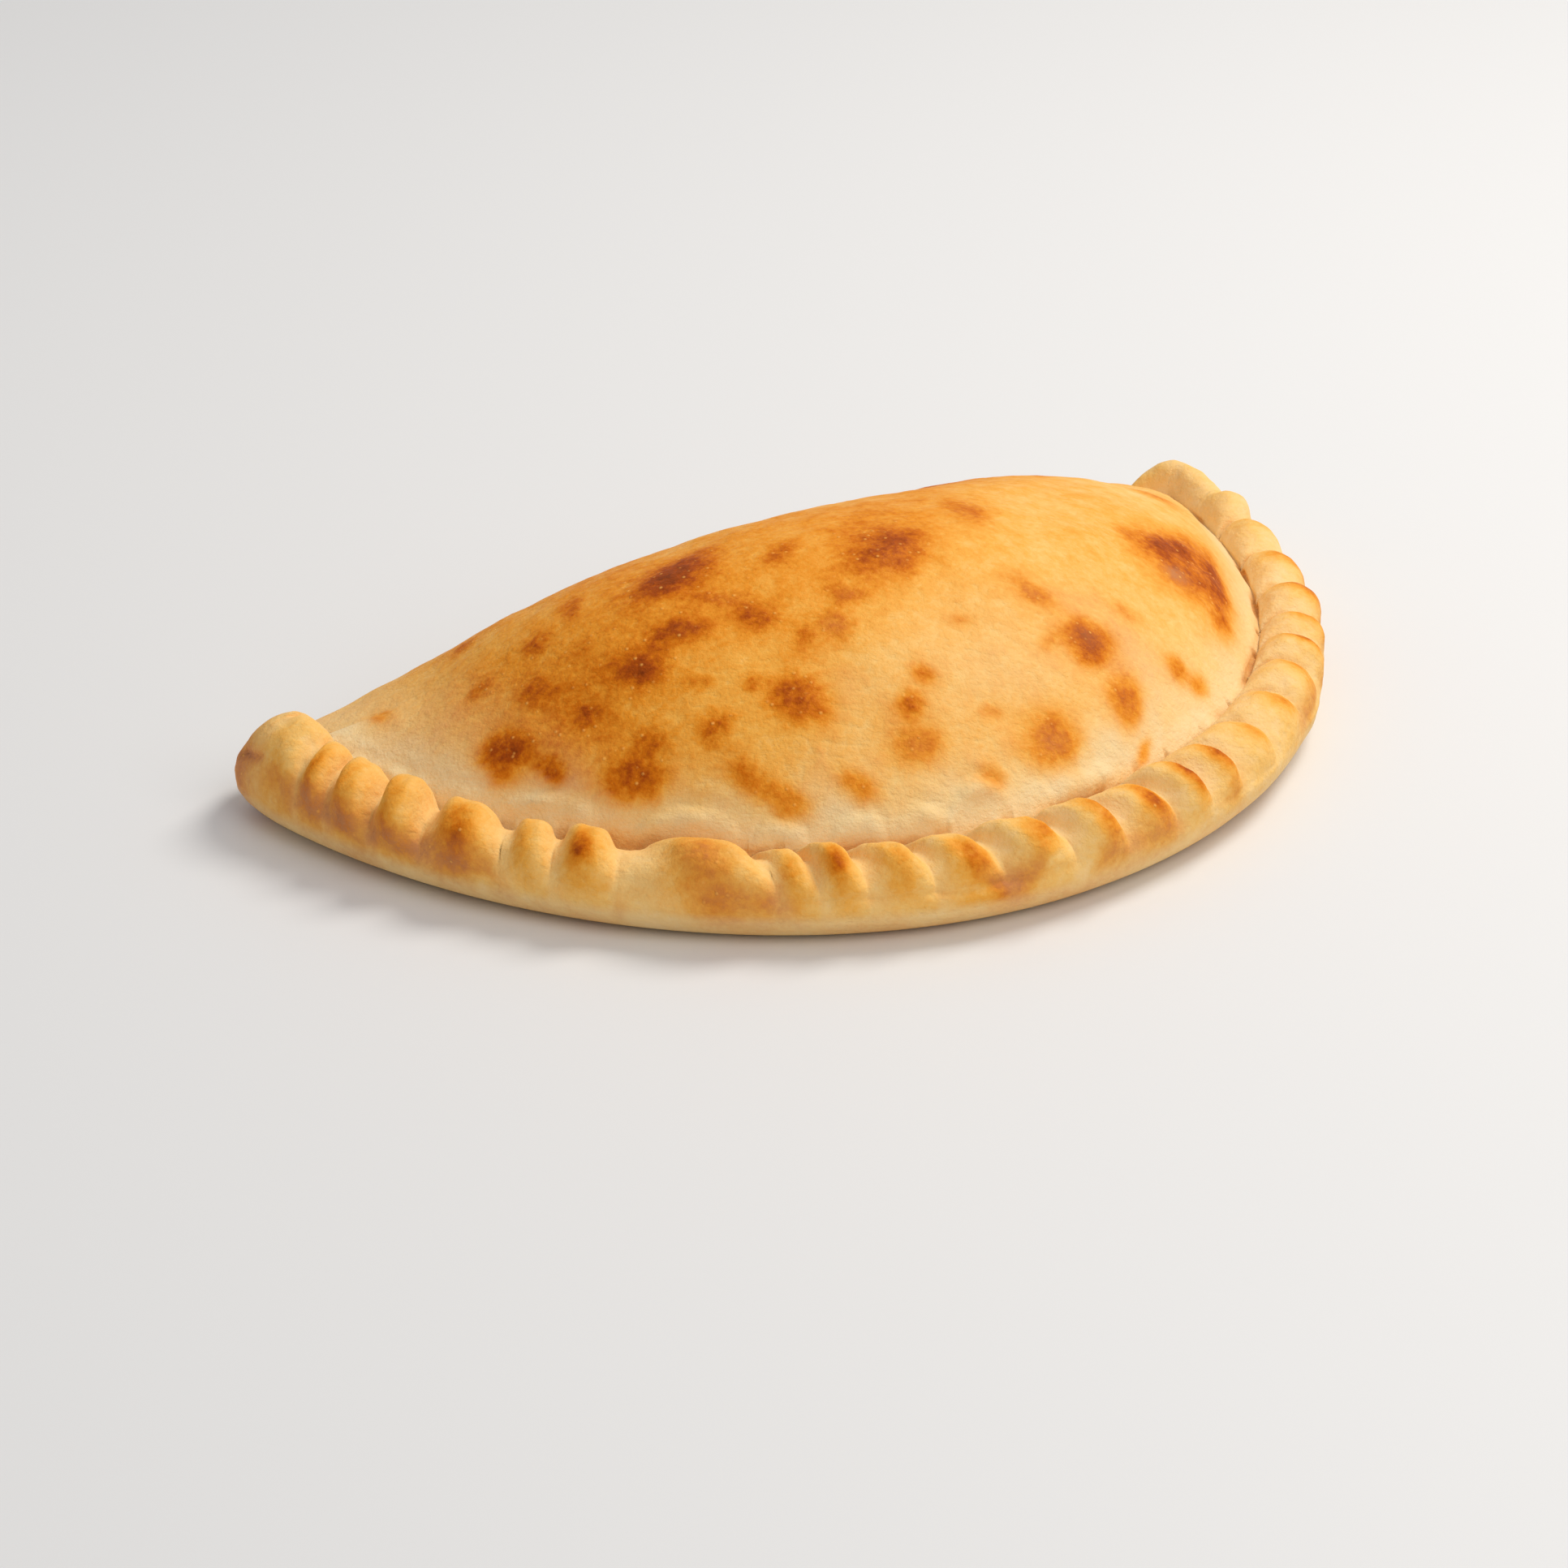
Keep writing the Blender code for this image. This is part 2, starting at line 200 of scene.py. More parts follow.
def loftCrust(rng):
    closed, run = outlineCurve()
    places, shares, which, crimpEnd = layOutColumns(run[-1])
    across = places / crimpEnd
    onCrimp = across < 1.0
    pastEnds = np.where(onCrimp, 0.0, np.minimum(places - crimpEnd, run[-1] - places))
    crimped = 1.0 - softStep(pastEnds, 0.0, crust["rimFade"])
    beforeTip = np.minimum(places, run[-1] - places)
    # the rim as it starts at the left tip also closes the end of the fold there
    rims = np.array(pinches["rims"])
    leftEnd = run[-1] - places < crust["rimFade"]
    rimWidth, crest, seamOnCrimp = (
        np.where(leftEnd, column[0], np.interp(across, rims[:, 0], column)) for column in rims[:, 1:].T)

    # every crease has its own slant and bow; the ridges between turn from one to the other
    count = len(pinches["widths"])
    edges = np.concatenate([[0.0], np.cumsum(pinches["widths"])])
    where, slants, bows = np.array(pinches["creases"]).T
    creaseSlant = np.interp(edges / crimpEnd, where, slants)
    creaseSlant = creaseSlant + rng.uniform(-1.0, 1.0, count + 1) * pinches["unevenSlant"]
    creaseSlant *= softStep(edges, 0.0, pinches["firstPinch"]) * softStep(crimpEnd - edges, -1.0, 20.0)
    slant = np.where(onCrimp, np.interp(places, edges, creaseSlant), 0.0)
    creaseBow = np.interp(edges / crimpEnd, where, bows)

    # no two knuckles are equally high, and their tops lie a little off the middle
    peakShift = rng.uniform(-1.0, 1.0, count) * pinches["unevenPeak"]
    size = 1.0 + rng.uniform(-1.0, 1.0, count) * pinches["unevenHeight"]
    for number, factor, offMiddle in pinches["sizes"]:
        size[number] = factor
        peakShift[number] += offMiddle
    creaseBow = creaseBow * (1.0 + rng.uniform(-1.0, 1.0, count + 1) * pinches["unevenBow"])
    bow = np.where(onCrimp, np.interp(places, edges, creaseBow), 0.0)
    strength = size[which] * (0.12 + 0.88 * softStep(places, 0.0, pinches["firstPinch"]))
    # the last knuckle is a broad lump that runs on round the right tip
    onLump = ~onCrimp & (places < crimpEnd + 2.0 * pinches["lumpReach"])
    lump = softStep(places, edges[-2] - 12.0, crimpEnd - 7.0)
    lump = lump * (1.0 - softStep(places, crimpEnd + 5.0, crimpEnd + 5.0 + pinches["lumpReach"]))
    height = np.interp(across, *np.array(pinches["heights"]).T) * strength * (onCrimp | onLump)

    def crownAt(share):
        # a ridge between two creases: its top runs from near the left crease at the head
        # towards the right one at the foot, and the creases soften on the outer wall
        peak = pinches["footAt"] + (pinches["headAt"] - pinches["footAt"]) * softStep(share, 0.1, 0.9)
        bias = np.log(0.5) / np.log(peak + peakShift[which])
        ridge = np.sin(np.pi * shares ** bias)
        # separate teeth on the left, shells that lie against each other on the right
        tooth = softStep(ridge, 0.10, 0.95)
        tooth = tooth + (ridge ** 0.75 - tooth) * softStep(across, 0.45, 0.62)
        low = ridge ** (1.1 - 0.3 * softStep(share, 0.0, 0.25))
        crown = low + (tooth - low) * softStep(share, 0.25, 0.5)
        crown = np.where(which == count - 1, 0.0, crown)
        return np.maximum(np.where(onCrimp, crown, 0.0), lump)

    lift = crust["leftTipRise"] * bell(beforeTip, crust["tipReach"])
    lift = lift + crust["rightTipRise"] * bell(places - crimpEnd - 2.0, crust["tipReach"])
    along = planAt(closed, run, places)[:, 0] / crust["halfLength"]
    shoulder = crust["shoulderAtTips"]
    shoulder = shoulder + (crust["shoulderInMiddle"] - shoulder) * (1.0 - along ** 2)
    shoulder = shoulder + (seamOnCrimp - shoulder) * crimped
    tipLift = 0.35 * lift * crimped
    seamHeight = shoulder + tipLift
    arch = crest + lift - 0.5 * (crust["wallHeight"] + seamHeight)
    blunt = 1.0 - 0.28 * bell(beforeTip, 20.0)

    def ring(inset, height, shift):
        spot = places + shift
        plan = planAt(closed, run, spot)
        plan = plan + inwardAt(closed, run, spot) * np.reshape(inset, (-1, 1))
        return np.column_stack([plan, height * np.ones(len(places))])

    rows, zones, crowns = [], [], []
    wallHeight, footInset = crust["wallHeight"], crust["footInset"]
    middle = np.array([0.0, crust["crownY"]])
    foot = ring(footInset, 0.0, 0.5 * slant)
    for step in range(1, crust["undersideRings"] + 1):
        share = step / (crust["undersideRings"] + 1)
        inner = foot.copy()
        inner[:, :2] = middle + (foot[:, :2] - middle) * share
        rows.append(inner)
        zones.append((-1.0, 0.0))
        crowns.append(crownAt(0.0))
    for step in range(crust["wallRings"]):
        turn = 0.5 * np.pi * step / crust["wallRings"]
        inset = footInset * (1.0 - np.sin(turn))
        rows.append(ring(inset, wallHeight * (1.0 - np.cos(turn)), 0.5 * slant))
        zones.append((0.0, step / crust["wallRings"]))
        crowns.append(crownAt(0.0))

    for step in range(crust["rimRings"] + 1):
        share = step / crust["rimRings"]
        turn = np.pi * share
        crown = crownAt(share)
        inset = rimWidth * crimped * 0.5 * (1.0 - np.cos(turn))
        inset = inset + crust["shoulderInset"] * (1.0 - crimped) * share ** 1.6
        rise = wallHeight + (seamHeight - wallHeight) * share
        rise = rise + arch * np.sin(turn) ** blunt * crimped
        # the knuckles swell from the wall, stand up along the crest and die away over the seam
        grow = softStep(share, 0.0, 0.40) * (1.0 - 0.90 * softStep(share, 0.48, 0.90))
        bump = height * crown * grow
        lean = 0.8 * turn
        upward = bump * np.sin(lean) * (1.0 - 0.6 * softStep(share, 0.85, 1.0))
        pit = pinches["pitDepth"] * bell(crown, 0.28) * onCrimp * crimped
        pit = pit * softStep(share, 0.45, 0.85) * (1.0 - 0.55 * softStep(share, 0.88, 1.0))
        shift = (0.5 - share) * slant + bow * np.sin(turn)
        rows.append(ring(inset - bump * np.cos(lean), rise + upward - pit, shift))
        zones.append((1.0, share))
        crowns.append(crown)

    seam = rows[-1][:, :2]
    corner, sheet = inflateSheet(seam, middle)
    crown = crownAt(1.0)
    scallop = rows[-1][:, 2] - seamHeight
    reach = np.hypot(*(seam - middle).T)
    # beside the seam the sheet's grid is too coarse, so its height is eased down from further in
    toRightEnd = softStep(seam[:, 0], 10.0, 80.0)
    eased = (crust["sheetEdge"] + 6.0 * toRightEnd) / reach
    easing = 0.72 + 0.36 * toRightEnd
    for step in range(1, crust["domeRings"] + 1):
        share = (step / (crust["domeRings"] + 1)) ** 1.3
        base = crust["seamHeight"] + (shoulder - crust["seamHeight"]) * (1.0 - share) ** 3
        base = base + tipLift * bell(share * reach, 12.0)
        plan = seam + (middle - seam) * share
        inner = seam + (middle - seam) * np.maximum(share, eased)[:, None]
        ringPoints = domeRing(plan, inner, np.minimum(share / eased, 1.0) ** easing, base, corner, sheet)
        ringPoints[:, 2] += scallop * bell(share * reach, 2.0)
        rows.append(ringPoints)
        zones.append((2.0, share))
        crowns.append(crown)
    top = domeRing(middle[None, :], middle[None, :], 1.0, np.array([crust["seamHeight"]]), corner, sheet)[0]
    layout = {
        "places": places, "shares": shares, "which": which,
        "crowns": np.array(crowns), "crimped": crimped, "onCrimp": onCrimp,
        "reach": reach, "crimpEnd": crimpEnd, "total": run[-1], "zones": np.array(zones),
    }
    return np.array(rows), top, layout


def domeRing(plan, inner, ease, base, corner, sheet):
    toBack = softStep(plan[:, 1], -100.0, -20.0)
    front, back = crust["frontFullness"], crust["backFullness"]
    back = back + (crust["backRightFullness"] - back) * softStep(plan[:, 0], 0.0, 80.0)
    back = back + (crust["backLeftFullness"] - back) * (1.0 - softStep(plan[:, 0], -104.0, -73.0))
    rise = ease * sheetAt(corner, sheet, inner) ** (front + (back - front) * toBack)
    rise = rise * (1.0 - crust["domeLean"] * plan[:, 0] / crust["halfLength"])
    return np.column_stack([plan, base + (crust["crownHeight"] - base) * rise])


def gridNormals(rows):
    downRows = np.gradient(rows, axis=0)
    alongRing = np.roll(rows, -1, axis=1) - np.roll(rows, 1, axis=1)
    normals = np.cross(alongRing, downRows)
    length = np.linalg.norm(normals, axis=2, keepdims=True)
    return normals / np.maximum(length, 1e-9)


# marks left by the oven floor and the flame, on the dome
# each: x, y, half length, half width, turn in degrees, heat 0 to 1, ash
# most places and turns were first printed by a helper script that cast them onto the solid,
# then tuned by hand; the marks on the fold side were placed by hand
scorches = (
    (-49, 21, 10, 6, 11, 0.92, 0.1), (-42, 26, 6, 3, 5, 0.40, 0.0), (-71, 3, 7, 5, 138, 0.74, 0.0),
    (-64, 5, 4, 3, 140, 0.40, 0.0), (-59, 4, 6, 3, 149, 0.66, 0.1), (-69, 33, 5, 3, 68, 0.52, 0.0),
    (-81, 31, 4, 3, 61, 0.56, 0.0), (-45, -4, 4, 4, 87, 0.58, 0.0), (-46, 5, 7, 3, 130, 0.42, 0.2),
    (-50, -25, 6, 6, 57, 0.70, 0.0), (-47, -30, 5, 4, 20, 0.40, 0.0), (-67, -20, 4, 4, 129, 0.66, 0.0),
    (-56, -17, 2, 2, 121, 0.45, 0.0), (-64, -10, 3, 2, 126, 0.38, 0.0), (-84, -14, 8, 6, 126, 0.70, 0.0),
    (-78, -12, 4, 3, 88, 0.50, 0.0), (-98, 14, 7, 5, 110, 0.80, 0.0), (-85, 5, 4, 3, 106, 0.60, 0.0),
    (-88, 19, 5, 4, 85, 0.46, 0.0), (-94, 34, 4, 3, 2, 0.36, 0.0), (-102, 16, 4, 2, 101, 0.32, 0.0),
    (-94, 2, 3, 2, 121, 0.32, 0.0), (-66, -30, 5, 4, 101, 0.42, 0.0), (-62, -39, 7, 4, 101, 0.52, 0.0),
    (-107, 53, 5, 3, 98, 0.35, 0.0), (-28, 11, 5, 2.5, 20, 0.50, 0.0), (-95, 2, 4, 3, 90, 0.42, 0.0),
    (-102, 12, 4, 3, 90, 0.36, 0.0), (-6, -1, 14, 9, 24, 0.72, 0.1),
    (24, 9, 8, 6, 66, 0.42, 0.2), (-24, -9, 5, 3, 131, 0.45, 0.3), (-32, -16, 5, 5, 34, 0.46, 0.5),
    (-40, -15, 3, 2, 55, 0.42, 0.0), (18, -23, 6, 4, 123, 0.45, 0.5), (24, -35, 7, 5, 178, 0.66, 0.6),
    (21, -39, 4, 3, 20, 0.50, 0.2), (74, -9, 13, 11, 15, 0.62, 0.0), (75, 0, 12, 4.5, 12, 0.76, 0.0),
    (84, -7, 10, 4.5, 68, 0.72, 0.0), (69, -12, 6, 5, 20, 0.10, 1.8), (76, -20, 7, 4, 50, 0.45, 0.0),
    (25, -48, 8, 5, 61, 0.56, 0.4), (0, -54, 8, 7, 7, 0.62, 0.8), (-21, -35, 3, 3, 7, 0.46, 0.0),
    (-28, -39, 4, 3, 2, 0.54, 0.0), (-31, -46, 7, 6, 165, 0.48, 0.4), (-11, -46, 3, 2, 179, 0.30, 0.6),
    (-18, -56, 4, 4, 168, 0.34, 0.2), (-47, -46, 6, 4, 112, 0.46, 0.0), (47, -39, 4, 4, 41, 0.44, 0.0),
    (52, -41, 4, 3, 10, 0.42, 0.0), (24, -57, 5, 2, 64, 0.40, 0.0), (-4, -26, 3, 2, 179, 0.28, 0.3),
    (41, -27, 5, 3, 142, 0.26, 0.3), (13, -35, 4, 2, 22, 0.26, 0.3), (64, 2, 4, 3, 34, 0.28, 0.2),
    # on the side that faces the fold
    (-20, 57, 8, 5, 12, 0.62, 0.1), (20, 62, 5, 4, 60, 0.46, 0.0), (46, 56, 8, 5, 168, 0.60, 0.2),
    (74, 48, 5, 4, 30, 0.48, 0.0), (-60, 61, 6, 4, 15, 0.56, 0.0), (-6, 70, 4, 3, 5, 0.42, 0.0),
    (62, 66, 5, 3, 10, 0.44, 0.0), (-40, 69, 5, 3, 170, 0.46, 0.0), (98, 32, 6, 4, 120, 0.46, 0.0),
    (31, 70, 4, 3, 15, 0.50, 0.0), (-84, 56, 4, 3, 40, 0.44, 0.0), (4, 54, 4, 3, 70, 0.36, 0.0),
)


def paintScorches(points, normals, noise):
    # heat, ash and swelling of every vertex; the warp makes the marks a little ragged
    flat = points.reshape(-1, 3)
    flatNormals = normals.reshape(-1, 3)
    warp = np.stack([noise.layered(flat + 61.0 * axis, 8.0, 3) for axis in range(3)], axis=1)
    moved = flat + warp * 0.9
    cool = np.ones(len(flat))
    ashAndShade = np.zeros(len(flat))
    swell = np.zeros(len(flat))
    for x, y, length, width, turn, heat, ashy in scorches:
        away = np.hypot(flat[:, 0] - x, flat[:, 1] - y) + 200.0 * (flat[:, 2] < 19.0)
        nearest = int(np.argmin(away))
        centre = flat[nearest]
        upward = flatNormals[nearest]
        angle = math.radians(turn)
        first = np.array([math.cos(angle), math.sin(angle), 0.0])
        first = first - upward * first.dot(upward)
        first /= np.linalg.norm(first)
        second = np.cross(upward, first)
        near = np.abs(flat - centre).max(axis=1) < 3.2 * length
        gap = moved[near] - centre
        far = np.hypot(gap @ first / length, gap @ second / width)
        # a dark heart with a soft orange halo
        mark = 0.81 * np.exp(-(far / 0.98) ** 2.4) + 0.19 * bell(far, 1.9)
        cool[near] *= 1.0 - heat * mark
        ashAndShade[near] = np.maximum(ashAndShade[near], 0.55 * ashy * bell(far, 0.6))
        swell[near] += 0.09 * math.sqrt(length * width) * heat * bell(far, 0.95)
    shape = points.shape[:2]
    return (1.0 - cool).reshape(shape), ashAndShade.reshape(shape), swell.reshape(shape)


# rolls of dough that stand behind the seam
# each: from and to along the rim, furthest reach from the seam, width, height
rolls = (
    (14, 44, 1.6, 1.3, 1.2), (44, 60, 1.5, 1.2, 1.0), (64, 92, 3.4, 1.2, 1.5),
    (102, 131, 3.5, 1.3, 2.2), (134, 148, 2.2, 1.2, 1.1), (152, 168, 2.4, 1.2, 1.1),
    (170, 186, 3.0, 1.2, 1.2), (184, 203, 5.0, 1.3, 1.5), (206, 216, 2.2, 1.2, 1.0),
    (216, 238, 2.2, 1.2, 1.0), (262, 281, 1.8, 1.2, 0.8), (330, 352, 1.8, 1.2, 0.7),
)


# where the details of the rim lie, along the rim
details = {"broadKnuckle": 117.5, "frontLip": 179.0, "tipCrease": -2.0, "toastedTip": -8.0}
# how high or deep each kind of relief is
depths = {
    "swell": 0.9, "ripple": 0.17, "dent": 0.38, "smallDent": 0.20, "foldWave": 0.9, "wrinkle": 0.14,
    "crackAndShade": 1.1, "outerLip": 0.25, "unevenLip": 0.45, "foldLine": 0.7, "tipCrease": 1.3,
}
# how brown each part of the crust is, 0 to 1; the seam crack and tip crease values are painted shade
# darkening those creases, the seam crack with some browning too
tones = {
    "underside": 0.5, "wall": 0.19, "rim": 0.16, "fold": 0.17, "dome": 0.225, "goldenLeft": 0.21,
    "besideSeam": 0.15, "seam": 0.10, "smudge": 0.32, "broadKnuckle": 0.9, "frontLip": 0.24,
    "leftTip": 0.26, "tipCrease": 0.22, "crackAndShade": 0.05, "scorch": 0.88,
}
# how floury each part is, 0 to 1
dust = {
    "seam": 0.92, "leftEnd": 0.50, "rightFront": 0.16, "rightSeam": 0.10, "creases": 0.20,
    "besideCreases": 0.10, "innerRim": 0.55, "wall": 0.50, "most": 0.92,
}


def zonesOf(layout):
    # each vertex: underside -1, wall 0, rim 1 or dome 2, the share of the way across it,
    # and the distance from the seam
    zone = layout["zones"][:, 0][:, None]
    share = layout["zones"][:, 1][:, None]
    return zone, share, share * layout["reach"][None, :], (zone == 2.0) * 1.0, (zone == 1.0) * 1.0


def alongRim(layout):
    # place along the rim, counted from the left tip: all the way round, and to both sides of it
    places = layout["places"][None, :]
    return places, np.mod(places + 60.0, layout["total"]) - 60.0


def reliefOf(rows, layout, noise, swell):
    # long swells, rolls, blisters and wrinkles; also the seam's cracks and the left tip's crease
    zone, share, fromSeam, onDome, onRim = zonesOf(layout)
    places, fromTip = alongRim(layout)
    crimped = layout["crimped"][None, :]
    crimpEnd = layout["crimpEnd"]
    relief = swell * onDome
    relief = relief + onDome * softStep(fromSeam, 2.0, 22.0) * depths["swell"] * noise.layered(rows, 38.0, 2)
    ripple = depths["ripple"] * softStep(fromSeam, 1.0, 10.0)
    relief = relief + onDome * ripple * noise.layered(rows + 5.0, 7.0, 3)
    dents = depths["dent"] * noise.layered(rows + 31.0, 8.0, 2)
    dents = dents + depths["smallDent"] * noise.layered(rows + 71.0, 3.2, 2)
    relief = relief + onRim * dents * np.sin(np.pi * share) ** 0.5
    # the plain fold is a little wavy
    onFold = (1.0 - crimped) * (onRim + onDome * bell(fromSeam, 24.0) + (zone == 0.0) * share)
    relief = relief + onFold * depths["foldWave"] * noise.layered(rows + 91.0, 34.0, 3)

    wander = 0.7 * noise.at(rows + 83.0, 9.0)
    for start, end, reach, width, height in rolls:
        along = np.clip((places - start) / (end - start), 0.0, 1.0)
        hump = np.sin(np.pi * along)
        far = fromSeam + wander - reach * hump ** 0.45
        roll = bell(far, width) - 0.45 * bell(far - 1.9 * width, 0.7)
        relief = relief + onDome * (0.65 + 0.5 * noise.at(rows + 83.0, 5.0)) * height * hump ** 0.6 * roll
    # short wrinkles that run into the seam
    pull = np.stack(np.broadcast_arrays(places, 0.25 * fromSeam, 7.0), axis=-1)
    wrinkle = noise.at(pull, 3.4) * bell(fromSeam - 2.0, 5.0) * depths["wrinkle"] * crimped
    relief = relief + onDome * wrinkle * softStep(fromSeam, 0.3, 2.0)
    # the seam is a deep crease in places, mostly where two knuckles meet; the same mask also darkens the
    # colour there as painted shade, with some browning
    crackAndShade = softStep(noise.at(rows + 23.0, 13.0) + 0.5 * bell(layout["crowns"], 0.3), 0.0, 0.7)
    crackAndShade = crackAndShade * softStep(places, 10.0, 24.0) * (1.0 - softStep(places, crimpEnd - 26.0, crimpEnd - 12.0))
    crackAndShade = crackAndShade * (onDome * bell(fromSeam - 0.3, 0.9) + onRim * bell(1.0 - share, 0.05))
    relief = relief - depths["crackAndShade"] * crackAndShade
    # an uneven lip where the knuckles meet the outer wall
    lip = bell(share - 0.03, 0.035) * onRim + bell(1.0 - share, 0.25) * (zone == 0.0)
    lip = lip * crimped
    uneven = depths["unevenLip"] * noise.layered(rows + 57.0, 16.0, 2)
    relief = relief + lip * (depths["outerLip"] + uneven)
    # a raised lip at the front, and the fold line that runs out of it
    ledge = softStep(places, 118.0, 140.0) * (1.0 - softStep(places, 192.0, 204.0)) * onRim
    relief = relief + ledge * bell(places - details["frontLip"], 12.0) * bell(share - 0.04, 0.05)
    foldLine = bell(share - 0.14 - 0.02 * noise.at(rows + 3.0, 11.0), 0.03)
    relief = relief - ledge * depths["foldLine"] * foldLine
    # the small crease in the lump at the left tip
    fromCrease = fromTip - details["tipCrease"]
    creaseAndShade = bell(share - 0.15 - 0.05 * (fromCrease / 5.0) ** 2, 0.035)
    creaseAndShade = onRim * creaseAndShade * (1.0 - softStep(np.abs(fromCrease), 3.0, 7.0))
    return relief - depths["tipCrease"] * creaseAndShade, crackAndShade, creaseAndShade


def browning(rows, layout, noise):
    # how brown the crust is before the scorch marks, and how sooty the rim is
    zone, share, fromSeam, onDome, onRim = zonesOf(layout)
    places, fromTip = alongRim(layout)
    crimped = layout["crimped"][None, :]
    # the knuckles catch the heat on their tops
    rng = np.random.default_rng(crust["seed"] + 5)
    kiss = 0.22 + 0.38 * rng.random(len(pinches["widths"]))
    kiss[14:17] *= 0.85
    kiss[0] = 0.12
    kiss[7] = 0.10
    kiss[-2:] = 0.06
    kiss = np.where(layout["onCrimp"], kiss[layout["which"]], 0.0)[None, :]
    phase = layout["shares"][None, :]
    toRight = softStep(places, 150.0, 215.0)
    ridge = bell(phase - 0.50 - 0.20 * toRight, 0.24) * bell(share - 0.37 - 0.05 * toRight, 0.18) * onRim
    patch = noise.layered(rows + 9.0, 13.0, 3)
    rimTone = tones["rim"] - 0.06 * toRight + kiss * ridge * (1.0 + 0.5 * patch)
    smudge = softStep(patch + 0.5 * noise.at(rows + 19.0, 34.0), -0.35, 0.75)
    fromBroad = places - details["broadKnuckle"]
    smudge = smudge * (1.0 - 0.4 * toRight) * (1.0 - 0.8 * bell(fromBroad, 11.0))
    smudge = smudge * (0.3 + 0.7 * softStep(places, 4.0, 20.0))
    smudge = smudge * (onRim * bell(share - 0.13, 0.15) + 0.6 * (zone == 0.0) * bell(1.0 - share, 0.4))
    rimTone = rimTone + 0.05 * bell(share - 0.13, 0.12) + tones["smudge"] * smudge
    broad = noise.layered(rows + 47.0, 30.0, 3)
    x, y = rows[:, :, 0], rows[:, :, 1]
    toLeft = 1.0 - softStep(x - 1.5 * y, -34.0, 20.0)
    gold = tones["goldenLeft"] * toLeft * softStep(x, -112.0, -80.0)
    gold = gold * (1.0 - 0.45 * softStep(y, 15.0, 45.0))
    gold = gold * softStep(y, -50.0, 10.0)
    skinTone = tones["dome"] + gold + (0.06 + 0.02 * toLeft) * broad + 0.06 * softStep(y, 20.0, 70.0)
    domeTone = skinTone - tones["besideSeam"] * bell(fromSeam, 9.0) * crimped
    foldTone = tones["fold"] + (skinTone - tones["fold"]) * softStep(share, 0.0, 1.0)
    rimTone = rimTone * crimped + foldTone * (1.0 - crimped)
    tone = np.where(zone == 2.0, domeTone, np.where(zone == 1.0, rimTone, tones["wall"] + 0.10 * patch))
    blend = bell(fromSeam, 3.0) * onDome * crimped
    tone = tone * (1.0 - blend) + tones["seam"] * blend
    # the broad brown knuckle at the front, the lip beside it and the toasted left tip
    side = onRim * (share < 0.75) + (zone == 0.0)
    column = onRim * (0.40 * bell(share - 0.48, 0.20) + 0.15 * (1.0 - softStep(share, 0.1, 0.4)))
    column = column + 0.12 * (zone == 0.0) * share
    column = bell(fromBroad, 6.5) * column * (1.0 + 0.5 * patch)
    tone = tone + tones["broadKnuckle"] * column
    lipPaint = onRim * bell(share - 0.03, 0.08) + (zone == 0.0) * bell(1.0 - share, 0.35)
    lipPaint = tones["frontLip"] * lipPaint * bell(places - details["frontLip"], 9.0)
    tone = tone + lipPaint * (1.0 + 0.8 * patch)
    leftTip = bell(fromTip - details["toastedTip"], 8.0) * (share < 0.9)
    tone = tone + tones["leftTip"] * side * leftTip * (1.0 + 0.5 * patch)
    return tone, 1.1 * smudge + 1.5 * column, patch, broad, toLeft


def dusting(rows, layout, patch, broad, toLeft, crackAndShade):
    # dusty, less golden dough: along the seam, in the creases and at the left end
    zone, share, fromSeam, onDome, onRim = zonesOf(layout)
    crimped = layout["crimped"][None, :]
    crown = layout["crowns"]
    phase = layout["shares"][None, :]
    x, y = rows[:, :, 0], rows[:, :, 1]
    flour = dust["seam"] * bell(fromSeam, 7.0) * onDome * crimped * (0.85 + 0.5 * patch)
    flour = flour * (1.0 - 0.3 * softStep(x, 40.0, 90.0))
    foldSkin = onDome + onRim * (1.0 - crimped) * share
    flour = flour + dust["leftEnd"] * (1.0 - softStep(x, -118.0, -85.0)) * foldSkin
    front = (1.0 - toLeft) * onDome * (1.0 + 1.2 * broad) * (1.0 - softStep(y, -45.0, -5.0))
    flour = flour + dust["rightFront"] * front
    flour = flour + dust["rightSeam"] * bell(fromSeam, 13.0) * softStep(x, 60.0, 100.0) * onDome
    pinched = onRim * crimped
    flour = flour + dust["creases"] * bell(crown, 0.35) * pinched
    flour = flour + dust["besideCreases"] * bell(phase - 0.12, 0.14) * pinched * softStep(share, 0.1, 0.4)
    flour = flour + dust["innerRim"] * softStep(share, 0.66, 0.92) * pinched
    # painted shade: less dust in the seam cracks, so they read darker
    flour = flour * (1.0 - 0.8 * crackAndShade)
    return np.clip(flour + dust["wall"] * (zone == 0.0), 0.0, dust["most"])


